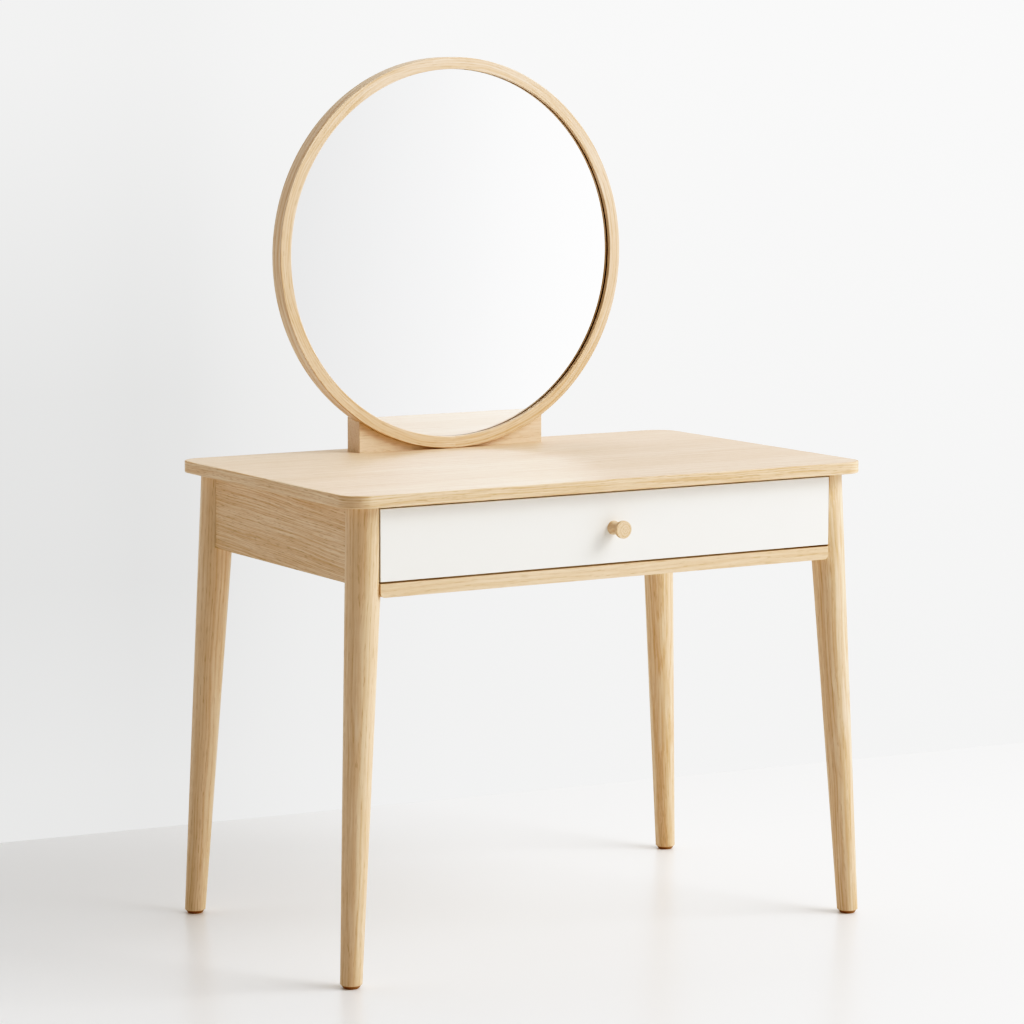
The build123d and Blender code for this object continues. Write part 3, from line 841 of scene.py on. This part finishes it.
class STATION_OT_mirror_glass(bpy.types.Operator):
    """Silvered float glass with a ground arris around its rim"""

    bl_idname = "station.mirror_glass"
    bl_label = "Mirror glass"

    def execute(self, context):
        sizes = context.scene.station_sizes
        low, high = (Vector(c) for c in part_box("mirror_glass"))
        radius = (high.x - low.x) / 2
        arris = sizes.glass_arris
        bm = turned(
            [
                (0, low.y),
                (radius - arris, low.y),
                (radius, low.y + arris),
                (radius, high.y - arris),
                (radius - arris, high.y),
                (0, high.y),
            ],
            [0] * 6,
            Vector((0, 0, (low.z + high.z) / 2)),
            GLASS_STEPS,
        )
        # Silver behind clear float glass: a sharp, neutral image with nine tenths of the light.
        material = spotted(
            "silvered float glass",
            context.scene.station_finishes.silver,
            0.004,
            (90, 90, 90),
            (0.004, 0.012),
            0.0,
            metallic=1.0,
        )
        as_piece(bm, "mirror_plate", "table", ["mirror_glass"], [material])
        return {"FINISHED"}


class STATION_OT_mirror_back(bpy.types.Operator):
    """Finish of the hardboard behind the mirror"""

    bl_idname = "station.mirror_back"
    bl_label = "Mirror back"

    def execute(self, context):
        # Pressed wood fibre: brown, felted, with darker flecks a few millimetres across.
        board = spotted(
            "hardboard, pressed fibre",
            context.scene.station_finishes.hardboard,
            0.3,
            (2.2, 2.2, 2.2),
            (0.6, 0.8),
            0.4,
            depth=0.0001,
        )
        dress(["mirror_backing"], board)
        return {"FINISHED"}


class STATION_OT_drawer_front(bpy.types.Operator):
    """Satin off-white drawer front with eased edges"""

    bl_idname = "station.drawer_front"
    bl_label = "Drawer front"

    def execute(self, context):
        sizes = context.scene.station_sizes
        low, high = (Vector(c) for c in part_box("drawer_front"))
        bm = bmesh.new()
        bmesh.ops.create_cube(bm, size=1.0)
        bmesh.ops.scale(bm, vec=high - low, verts=bm.verts)
        bmesh.ops.translate(bm, vec=(low + high) / 2, verts=bm.verts)
        bmesh.ops.bevel(
            bm,
            geom=bm.edges[:],
            offset=sizes.drawer_round,
            offset_type="OFFSET",
            affect="EDGES",
            segments=3,
            profile=0.5,
            material=-1,
        )
        # Sprayed satin lacquer on fibreboard: smooth, with a soft orange peel 3 mm apart.
        lacquer = spotted(
            "satin lacquer, sprayed",
            context.scene.station_finishes.lacquer,
            0.012,
            (3.0, 3.0, 3.0),
            (0.3, 0.38),
            0.12,
            depth=0.00002,
        )
        as_piece(
            bm, "drawer_front_lacquered", "drawer", ["drawer_front"], [lacquer]
        )
        return {"FINISHED"}


class STATION_OT_knob(bpy.types.Operator):
    """Turned oak knob, end grain to the front"""

    bl_idname = "station.knob"
    bl_label = "Knob"

    def execute(self, context):
        tones = context.scene.station_oak
        low, high = (Vector(c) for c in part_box("knob"))
        middle = (low + high) / 2
        wood = oak(
            "turned oak, end grain, matt lacquer",
            pith=(middle.x + 0.0015, low.y, middle.z - 0.001),
            along=(0, 1, 0),
            tones=(tones.pale, tones.deep, tones.pore),
            ring=3.2,
            figure=0.5,
            streaks=0.2,
            pores=0.4,
        )
        dress(["knob"], wood)
        return {"FINISHED"}


class STATION_OT_oak_frame(bpy.types.Operator):
    """Finish of the oak legs, aprons, rail, stretcher and plinth"""

    bl_idname = "station.oak_frame"
    bl_label = "Oak frame"

    def execute(self, context):
        group = context.scene.station_oak
        tones = (group.pale, group.deep, group.pore)
        for side, name in ((-1, "left"), (1, "right")):
            wood = oak(
                f"oak side apron {name}, matt lacquer",
                pith=(side * 0.36, 0, 0.54),
                along=(0, 1, -0.04 * side),
                tones=tones,
                ring=3.4,
                figure=0.42,
                streaks=0.5,
                pores=0.6,
            )
            dress([f"side_apron_{name}"], wood)
            for end, at in ((-1, "front"), (1, "back")):
                quarter = Vector((side, end, 1))
                foot = LEG_FOOT * quarter
                head = LEG_HEAD * quarter
                wood = oak(
                    f"turned oak leg {at} {name}, matt lacquer",
                    pith=foot + Vector((0.035 * end, 0.05 * side, 0)),
                    along=head - foot,
                    tones=tones,
                    ring=5.5,
                    figure=0.28,
                    streaks=0.45 + 0.12 * side,
                    pores=0.4,
                )
                dress([f"leg_{at}_{name}"], wood)
        rails = oak(
            "oak rails, matt lacquer",
            pith=(0, -0.2, 0.55),
            along=(1, 0, 0.01),
            tones=tones,
            ring=5.5,
            figure=0.2,
            streaks=0.3,
            pores=0.4,
        )
        dress(["front_rail", "front_stretcher", "back_apron"], rails)
        plinth = oak(
            "oak plinth, matt lacquer",
            pith=(0, 0.4, 0.7),
            along=(1, 0, 0),
            tones=(group.veneer_pale, group.veneer_deep, group.pore),
            ring=5.5,
            figure=0.2,
            streaks=0.32,
            pores=0.4,
        )
        dress(["mirror_plinth"], plinth)
        return {"FINISHED"}


class STATION_OT_drawer_box(bpy.types.Operator):
    """Finish of the birch plywood drawer box and the beech inside the frame"""

    bl_idname = "station.drawer_box"
    bl_label = "Drawer box"

    def execute(self, context):
        colours = context.scene.station_finishes
        for thick, names in (
            (0, ["drawer_side_left", "drawer_side_right"]),
            (1, ["drawer_box_front", "drawer_box_back"]),
            (2, ["drawer_bottom"]),
        ):
            for name in names:
                sheet = plywood(
                    f"birch plywood, {name}".replace("_", " "),
                    thick,
                    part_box(name)[0][thick],
                    colours.birch,
                    colours.birch_core,
                )
                dress([name], sheet)
        # Planed beech: pinkish and even, with short brown flecks along the piece.
        beech = spotted(
            "planed beech",
            colours.beech,
            0.1,
            (1.2, 5.0, 1.2),
            (0.5, 0.65),
            0.2,
        )
        dress(
            [
                "corner_block_left",
                "corner_block_right",
                "runner_batten_left",
                "runner_batten_right",
                "joint_dowels",
            ],
            beech,
        )
        return {"FINISHED"}


class STATION_OT_hardware(bpy.types.Operator):
    """Finish of the steel runners, brackets, clips, bolts and screws"""

    bl_idname = "station.hardware"
    bl_label = "Hardware"

    def execute(self, context):
        # Rolled and zinc plated: silvery, with faint draw lines along the runner.
        zinc = spotted(
            "zinc plated steel, rolled",
            context.scene.station_finishes.zinc,
            0.08,
            (6.0, 60.0, 2.0),
            (0.28, 0.42),
            0.15,
            metallic=1.0,
        )
        steel = ["leg_bolts", "leg_nuts", "knob_screw", "top_brackets", "mirror_clips"]
        for name in sorted(nodes):
            runner = name.startswith("runner_") and "batten" not in name
            if runner or name.endswith("screws"):
                steel.append(name)
        dress(steel, zinc)
        return {"FINISHED"}


class STATION_OT_glides(bpy.types.Operator):
    """Finish of the nylon glides under the legs"""

    bl_idname = "station.glides"
    bl_label = "Glides"

    def execute(self, context):
        # Moulded nylon: dull brown with a soft sheen and a fine moulded texture.
        nylon = spotted(
            "moulded nylon",
            context.scene.station_finishes.nylon,
            0.08,
            (1.5, 1.5, 1.5),
            (0.45, 0.55),
            0.3,
            ior=1.53,
        )
        dress([name for name in nodes if name.startswith("glide_")], nylon)
        return {"FINISHED"}


# ---------------------------------------------------------------- studio
class STATION_OT_stage(bpy.types.Operator):
    """Pale floor and backdrop, soft light and camera"""

    bl_idname = "station.stage"
    bl_label = "Studio"

    def execute(self, context):
        studio = context.scene.station_studio
        self.floor(studio)
        self.backdrop(studio)
        self.light(studio)
        self.camera(studio)
        self.tone(context.scene.view_settings)
        return {"FINISHED"}

    def tone(self, view):
        """Gentle print-like contrast: deeper half tones and a soft shoulder under white."""
        view.view_transform = "Standard"
        view.use_curve_mapping = True
        mapping = view.curve_mapping
        mapping.clip_max_x = 2.0
        curve = mapping.curves[3]
        curve.points[0].location = (0.0, 0.0)
        curve.points[-1].location = (2.0, 1.0)
        for point in (
            (0.02, 0.003),
            (0.05, 0.016),
            (0.1, 0.058),
            (0.15, 0.1144),
            (0.3, 0.278),
            (0.5, 0.5),
            (0.7, 0.688),
            (1.0, 0.899),
            (1.3, 0.99),
            (1.5, 1.0),
        ):
            curve.points.new(*point)
        # Half tones lean warm.
        for channel, points in (
            (1, ((0.15, 0.135), (0.3, 0.28), (0.5, 0.495), (0.7, 0.7))),
            (2, ((0.1, 0.075), (0.2, 0.162), (0.3, 0.268), (0.45, 0.435), (0.7, 0.7))),
        ):
            for point in points:
                mapping.curves[channel].points.new(*point)
            mapping.curves[channel].points[-1].location = (2.0, 2.0)
        mapping.update()

    def sheet(self, name, outline, material):
        """Flat stage sheet through the points of an outline."""
        bm = bmesh.new()
        bm.faces.new([bm.verts.new(point) for point in outline])
        mesh = bpy.data.meshes.new(name)
        bm.to_mesh(mesh)
        bm.free()
        mesh.materials.append(material)
        sheet = bpy.data.objects.new(name, mesh)
        bpy.context.scene.collection.objects.link(sheet)

    def floor(self, studio):
        """Painted floor: pale and matt, with the faintest cloudiness."""
        floor = spotted("painted floor", studio.floor, 0.006, (700, 700, 700), (0.26, 0.32), 0.0)
        tree = floor.node_tree
        seat = add(tree, "ShaderNodeTexCoord").outputs["Object"]
        away = add(tree, "ShaderNodeVectorMath", {0: seat}, operation="LENGTH")
        melt = add(
            tree,
            "ShaderNodeMapRange",
            {"Value": away.outputs["Value"], "From Min": MELT_START, "From Max": MELT_END},
            interpolation_type="SMOOTHSTEP",
        )
        glow = add(
            tree,
            "ShaderNodeEmission",
            {"Color": (*studio.wall, 1.0), "Strength": FAR_STRENGTH},
        )
        output = tree.nodes["Material Output"]
        both = add(
            tree,
            "ShaderNodeMixShader",
            {
                0: melt.outputs[0],
                1: output.inputs["Surface"].links[0].from_socket,
                2: glow.outputs[0],
            },
        )
        tree.links.new(both.outputs[0], output.inputs["Surface"])
        far = SHEET_REACH
        self.sheet("floor", [(-far, -far, 0), (far, -far, 0), (far, far, 0), (-far, far, 0)], floor)

    def backdrop(self, studio):
        """Backdrop that glows with painted light and shade, seen from its front only."""
        material, tree = new_material("backdrop paper, painted light and shade")
        seat = add(tree, "ShaderNodeTexCoord").outputs["Object"]
        parts = add(tree, "ShaderNodeSeparateXYZ", {0: seat})
        across = add(
            tree,
            "ShaderNodeMapRange",
            {"Value": parts.outputs[0], "From Min": -0.5, "From Max": 1.5},
        )
        height = add(
            tree,
            "ShaderNodeMapRange",
            {"Value": parts.outputs[2], "From Min": 0.0, "From Max": 2.0},
        )
        # Painted light and shade: the paper glows dimmest low on the left, as if lit from the
        # right.
        left = add(
            tree,
            "ShaderNodeValToRGB",
            {0: height.outputs[0]},
            stops=[
                (0.05, grey(0.425)),
                (0.23, grey(0.397)),
                (0.40, grey(0.407)),
                (0.53, grey(0.438)),
                (0.70, grey(0.485)),
                (0.90, grey(0.50)),
            ],
        )
        right = add(
            tree,
            "ShaderNodeValToRGB",
            {0: height.outputs[0]},
            stops=[(0.1, grey(0.515)), (0.25, grey(0.525)), (0.5, grey(0.55)), (0.7, grey(0.565))],
        )
        painted_light_share = add(
            tree,
            "ShaderNodeValToRGB",
            {0: across.outputs[0]},
            stops=[
                (0.045, grey(0.05)),
                (0.11, grey(0.0)),
                (0.16, grey(0.06)),
                (0.217, grey(0.3)),
                (0.277, grey(0.5)),
                (0.42, grey(0.75)),
                (0.545, grey(0.87)),
                (0.63, grey(0.93)),
                (1.0, grey(1.0)),
            ],
        )
        tone = add(
            tree,
            "ShaderNodeMix",
            {0: painted_light_share.outputs[0], 6: left.outputs[0], 7: right.outputs[0]},
            data_type="RGBA",
        )
        paper = add(
            tree,
            "ShaderNodeMix",
            {0: 1.0, 6: tone.outputs[2], 7: (*studio.wall, 1.0)},
            data_type="RGBA",
            blend_type="MULTIPLY",
        )
        # The paper glows with its painted light and shade rather than taking light from the lamps.
        painted_glow = add(tree, "ShaderNodeEmission", {"Color": paper.outputs[2], "Strength": 2.0})
        clear = add(tree, "ShaderNodeBsdfTransparent")
        side = add(tree, "ShaderNodeNewGeometry")
        shown = add(
            tree,
            "ShaderNodeMixShader",
            {0: side.outputs["Backfacing"], 1: painted_glow.outputs[0], 2: clear.outputs[0]},
        )
        finish(tree, shown)
        left_end, right_end = (
            (x, BACKDROP_DISTANCE - BACKDROP_SLOPE * x) for x in (-SHEET_REACH, SHEET_REACH)
        )
        outline = [
            (*left_end, 0),
            (*right_end, 0),
            (*right_end, BACKDROP_HEIGHT),
            (*left_end, BACKDROP_HEIGHT),
        ]
        self.sheet("backdrop", outline, material)

    def light(self, studio):
        """Studio that is dim at the left and bright at the right, and one large soft key."""
        world = bpy.data.worlds.new("soft studio")
        world.use_nodes = True
        tree = world.node_tree
        tree.nodes.clear()
        heading = add(tree, "ShaderNodeTexCoord").outputs["Generated"]
        parts = add(tree, "ShaderNodeSeparateXYZ", {0: heading})
        across = add(
            tree,
            "ShaderNodeMath",
            {0: parts.outputs[0], 1: 0.5, 2: 0.5},
            operation="MULTIPLY_ADD",
        )
        bright = add(
            tree,
            "ShaderNodeValToRGB",
            {0: across.outputs[0]},
            stops=[
                (0.0, (0.034, 0.028, 0.022, 1.0)),
                (0.42, (0.135, 0.122, 0.108, 1.0)),
                (0.5, (0.25, 0.245, 0.24, 1.0)),
                (0.6, (0.42, 0.425, 0.43, 1.0)),
                (0.726, grey(0.47)),
                (0.735, grey(0.51)),
                (0.7485, grey(0.58)),
                (0.767, grey(0.72)),
                (1.0, grey(0.80)),
            ],
        )
        around = add(
            tree,
            "ShaderNodeBackground",
            {"Color": bright.outputs[0], "Strength": 2.0 * studio.fill},
        )
        seen = add(
            tree,
            "ShaderNodeBackground",
            {"Color": (*studio.wall, 1.0), "Strength": FAR_STRENGTH},
        )
        path = add(tree, "ShaderNodeLightPath")
        both = add(
            tree,
            "ShaderNodeMixShader",
            {0: path.outputs["Is Camera Ray"], 1: around.outputs[0], 2: seen.outputs[0]},
        )
        add(tree, "ShaderNodeOutputWorld", {"Surface": both.outputs[0]})
        bpy.context.scene.world = world
        lamp = bpy.data.lights.new("key", "AREA")
        lamp.shape = "RECTANGLE"
        lamp.size = KEY_SIZE[0]
        lamp.size_y = KEY_SIZE[1]
        lamp.energy = studio.key
        key = bpy.data.objects.new("key", lamp)
        turn = (KEY_AIM - KEY_STAND).to_track_quat("-Z", "Y").to_matrix().to_4x4()
        key.matrix_world = Matrix.Translation(KEY_STAND) @ turn
        bpy.context.scene.collection.objects.link(key)

    def camera(self, studio):
        """Camera at standing height, left of the front."""
        lens = bpy.data.cameras.new("camera")
        lens.lens = studio.lens
        lens.sensor_width = 36.0
        lens.clip_end = 100.0
        camera = bpy.data.objects.new("camera", lens)
        camera.location = studio.eye
        camera.rotation_euler = (math.pi / 2 - studio.pitch, 0, -studio.yaw)
        bpy.context.scene.collection.objects.link(camera)
        bpy.context.scene.camera = camera


# ---------------------------------------------------------------- add-on
class STATION_PT_panel(bpy.types.Panel):
    """Sidebar panel that lists what builds the station"""

    bl_idname = "STATION_PT_panel"
    bl_label = "Styling station"
    bl_space_type = "VIEW_3D"
    bl_region_type = "UI"
    bl_category = "Station"

    def draw(self, context):
        for operator in operators:
            self.layout.operator(operator.bl_idname)
        for group in groups:
            values = getattr(context.scene, group)
            for name in values.bl_rna.properties.keys():
                if name not in ("rna_type", "name"):
                    self.layout.prop(values, name)


operators = (
    STATION_OT_tabletop,
    STATION_OT_mirror_ring,
    STATION_OT_mirror_glass,
    STATION_OT_mirror_back,
    STATION_OT_drawer_front,
    STATION_OT_knob,
    STATION_OT_oak_frame,
    STATION_OT_drawer_box,
    STATION_OT_hardware,
    STATION_OT_glides,
    STATION_OT_stage,
)
groups = {
    "station_sizes": StationSizes,
    "station_oak": StationOak,
    "station_finishes": StationFinishes,
    "station_studio": StationStudio,
}


def register():
    """Registers the groups, operators and panel."""
    for name, group in groups.items():
        bpy.utils.register_class(group)
        setattr(bpy.types.Scene, name, bpy.props.PointerProperty(type=group))
    for operator in operators:
        bpy.utils.register_class(operator)
    bpy.utils.register_class(STATION_PT_panel)


def unregister():
    """Takes back what register made."""
    bpy.utils.unregister_class(STATION_PT_panel)
    for operator in reversed(operators):
        bpy.utils.unregister_class(operator)
    for name, group in groups.items():
        delattr(bpy.types.Scene, name)
        bpy.utils.unregister_class(group)


def main():
    """Builds everything in order."""
    register()
    for operator in operators:
        family, call = operator.bl_idname.split(".")
        getattr(getattr(bpy.ops, family), call)()


if __name__ == "__main__":
    main()
